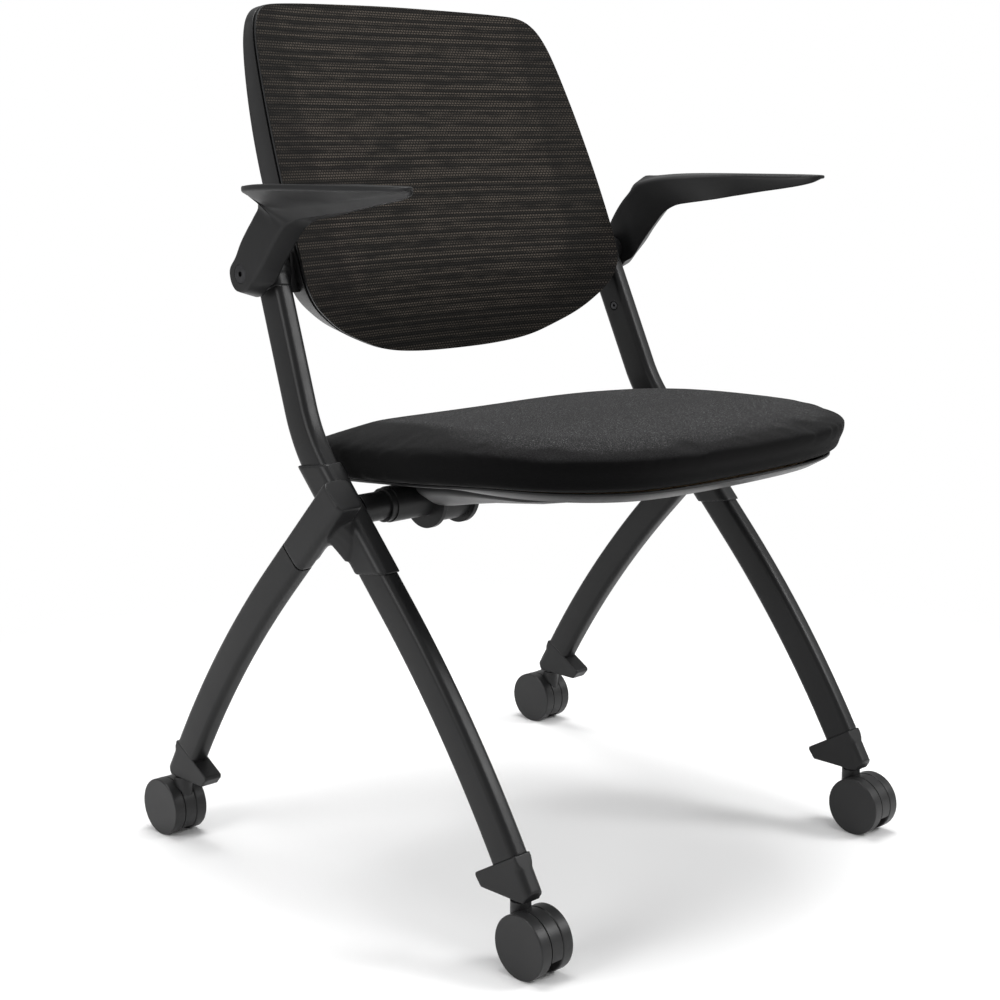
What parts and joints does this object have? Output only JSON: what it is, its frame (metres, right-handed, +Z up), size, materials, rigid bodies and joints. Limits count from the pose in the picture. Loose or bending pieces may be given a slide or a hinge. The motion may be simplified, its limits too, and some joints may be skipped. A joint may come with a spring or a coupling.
{
  "type": "nesting chair",
  "caption": "Wheeled nesting chair with crossed-leg side frames, flip-up upholstered seat, mesh back and pivoting arms.",
  "frame": {"origin": "point on the floor below the middle of the chair's bounding box, midway between the side frames", "axes": "+Z up, the chair faces -Y, +X is the sitter's left"},
  "size_m": [0.6068, 0.5888, 0.858],
  "materials": {
    "frame_paint": "satin black powder coat",
    "moulded_plastic": "fine-grained black moulding",
    "caster_plastic": "satin black nylon",
    "back_mesh": "woven black-brown striped mesh",
    "seat_fabric": "fine black weave",
    "plywood": "raw birch ply",
    "dark_steel": "blackened steel",
    "rubber": "black rubber"
  },
  "bodies": {
    "frame": {"main_tube_left": "frame_paint", "main_tube_right": "frame_paint", "rear_leg_left": "frame_paint", "rear_leg_right": "frame_paint", "side_casting_left": "frame_paint", "side_casting_right": "frame_paint", "top_knuckle_left": "frame_paint", "top_knuckle_right": "frame_paint", "front_foot_left": "frame_paint", "front_foot_right": "frame_paint", "rear_foot_left": "frame_paint", "rear_foot_right": "frame_paint", "front_stem_left": "dark_steel", "front_stem_right": "dark_steel", "rear_stem_left": "dark_steel", "rear_stem_right": "dark_steel", "cross_tube": "frame_paint", "stop_rings": "moulded_plastic", "arm_washers": "moulded_plastic", "arm_bolt_left": "dark_steel", "arm_bolt_right": "dark_steel", "upright_screws": "dark_steel"},
    "seat": {"hinge_housing_left": "moulded_plastic", "hinge_housing_right": "moulded_plastic", "housing_screws": "dark_steel", "seat_pan": "moulded_plastic", "seat_board": "plywood", "board_screws": "dark_steel", "seat_cushion": "seat_fabric"},
    "back": {"back_shell": "moulded_plastic", "mesh_carrier": "moulded_plastic", "back_mesh": "back_mesh", "pivot_bush_left": "rubber", "pivot_bush_right": "rubber"},
    "arm_left": {"arm_left": "moulded_plastic"},
    "arm_right": {"arm_right": "moulded_plastic"},
    "front_caster_left": {"front_hood_left": "caster_plastic", "front_axle_left": "dark_steel"},
    "front_wheel_inner_left": {"front_wheel_inner_left": "caster_plastic"},
    "front_wheel_outer_left": {"front_wheel_outer_left": "caster_plastic"},
    "front_caster_right": {"front_hood_right": "caster_plastic", "front_axle_right": "dark_steel"},
    "front_wheel_inner_right": {"front_wheel_inner_right": "caster_plastic"},
    "front_wheel_outer_right": {"front_wheel_outer_right": "caster_plastic"},
    "rear_caster_left": {"rear_hood_left": "caster_plastic", "rear_axle_left": "dark_steel"},
    "rear_wheel_inner_left": {"rear_wheel_inner_left": "caster_plastic"},
    "rear_wheel_outer_left": {"rear_wheel_outer_left": "caster_plastic"},
    "rear_caster_right": {"rear_hood_right": "caster_plastic", "rear_axle_right": "dark_steel"},
    "rear_wheel_inner_right": {"rear_wheel_inner_right": "caster_plastic"},
    "rear_wheel_outer_right": {"rear_wheel_outer_right": "caster_plastic"}
  },
  "joints": [
    {"name": "seat_flip", "type": "hinge", "parent": "frame", "child": "seat", "pos_m": [0, 0.006, 0.379], "axis": [-1, 0, 0], "range_deg": [0, 82]},
    {"name": "back_tilt", "type": "hinge", "parent": "frame", "child": "back", "pos_m": [0, 0.12905, 0.59529], "axis": [-1, 0, 0], "range_deg": [0, 10], "stiffness_Nm_per_rad": 110, "springref_deg": -3.44},
    {"name": "arm_flip_left", "type": "hinge", "parent": "frame", "child": "arm_left", "pos_m": [0.262, 0.12905, 0.59529], "axis": [-1, 0, 0], "range_deg": [0, 95]},
    {"name": "arm_flip_right", "type": "hinge", "parent": "frame", "child": "arm_right", "pos_m": [-0.262, 0.12905, 0.59529], "axis": [-1, 0, 0], "range_deg": [0, 95]},
    {"name": "front_swivel_left", "type": "hinge", "parent": "frame", "child": "front_caster_left", "pos_m": [0.2473, -0.22738, 0.05], "axis": [0, 0, 1], "continuous": true},
    {"name": "front_roll_inner_left", "type": "hinge", "parent": "front_caster_left", "child": "front_wheel_inner_left", "pos_m": [0.2473, -0.24388, 0.03], "axis": [1, 0, 0], "continuous": true},
    {"name": "front_roll_outer_left", "type": "hinge", "parent": "front_caster_left", "child": "front_wheel_outer_left", "pos_m": [0.2473, -0.24388, 0.03], "axis": [1, 0, 0], "continuous": true},
    {"name": "front_swivel_right", "type": "hinge", "parent": "frame", "child": "front_caster_right", "pos_m": [-0.2473, -0.22738, 0.05], "axis": [0, 0, 1], "continuous": true},
    {"name": "front_roll_inner_right", "type": "hinge", "parent": "front_caster_right", "child": "front_wheel_inner_right", "pos_m": [-0.2473, -0.24388, 0.03], "axis": [1, 0, 0], "continuous": true},
    {"name": "front_roll_outer_right", "type": "hinge", "parent": "front_caster_right", "child": "front_wheel_outer_right", "pos_m": [-0.2473, -0.24388, 0.03], "axis": [1, 0, 0], "continuous": true},
    {"name": "rear_swivel_left", "type": "hinge", "parent": "frame", "child": "rear_caster_left", "pos_m": [0.2763, 0.24741, 0.05], "axis": [0, 0, 1], "continuous": true},
    {"name": "rear_roll_inner_left", "type": "hinge", "parent": "rear_caster_left", "child": "rear_wheel_inner_left", "pos_m": [0.2763, 0.26391, 0.03], "axis": [1, 0, 0], "continuous": true},
    {"name": "rear_roll_outer_left", "type": "hinge", "parent": "rear_caster_left", "child": "rear_wheel_outer_left", "pos_m": [0.2763, 0.26391, 0.03], "axis": [1, 0, 0], "continuous": true},
    {"name": "rear_swivel_right", "type": "hinge", "parent": "frame", "child": "rear_caster_right", "pos_m": [-0.2763, 0.24741, 0.05], "axis": [0, 0, 1], "continuous": true},
    {"name": "rear_roll_inner_right", "type": "hinge", "parent": "rear_caster_right", "child": "rear_wheel_inner_right", "pos_m": [-0.2763, 0.26391, 0.03], "axis": [1, 0, 0], "continuous": true},
    {"name": "rear_roll_outer_right", "type": "hinge", "parent": "rear_caster_right", "child": "rear_wheel_outer_right", "pos_m": [-0.2763, 0.26391, 0.03], "axis": [1, 0, 0], "continuous": true}
  ]
}
